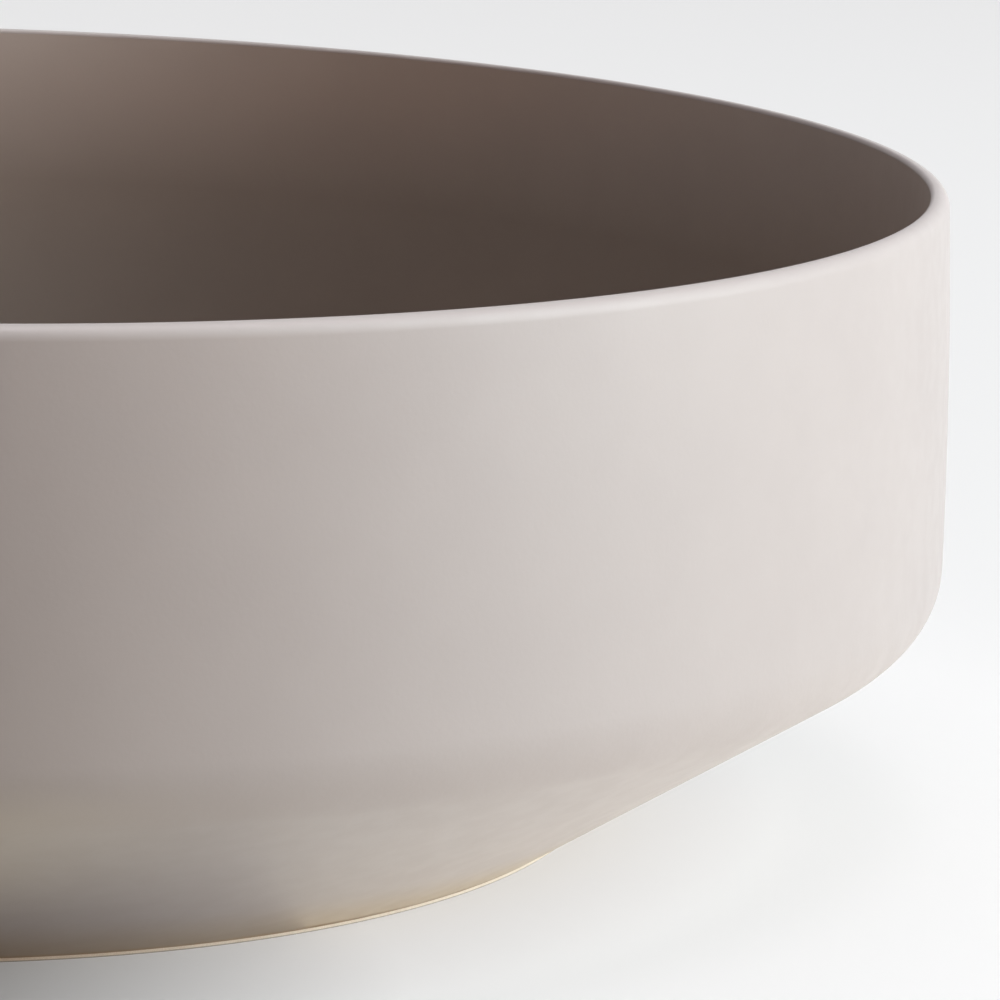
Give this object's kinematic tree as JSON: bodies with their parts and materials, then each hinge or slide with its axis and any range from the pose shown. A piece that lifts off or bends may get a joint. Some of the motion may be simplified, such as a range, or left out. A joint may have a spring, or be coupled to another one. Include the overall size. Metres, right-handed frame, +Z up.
{
  "type": "serving bowl",
  "caption": "Round stoneware serving bowl: an upright, slightly bowed wall, a rounded corner and a cone that narrows to a flat bare clay foot, with a matte taupe glaze inside and out.",
  "frame": {"origin": "on the bowl's axis, at the table that the foot stands on", "axes": "+Z up along the bowl's axis; X and Y are level and alike, because the bowl is round"},
  "size_m": [0.272, 0.272, 0.0826],
  "materials": {
    "bare_clay": "unglazed fired stoneware, dry and fine-grained",
    "outside_glaze": "matte taupe glaze with a soft sheen",
    "inside_glaze": "satin taupe glaze",
    "underside_glaze": "matte taupe glaze with a soft sheen"
  },
  "bodies": {
    "root": {"clay_body": "bare_clay", "outside_glaze": "outside_glaze", "inside_glaze": "inside_glaze", "underside_glaze": "underside_glaze"}
  },
  "joints": []
}
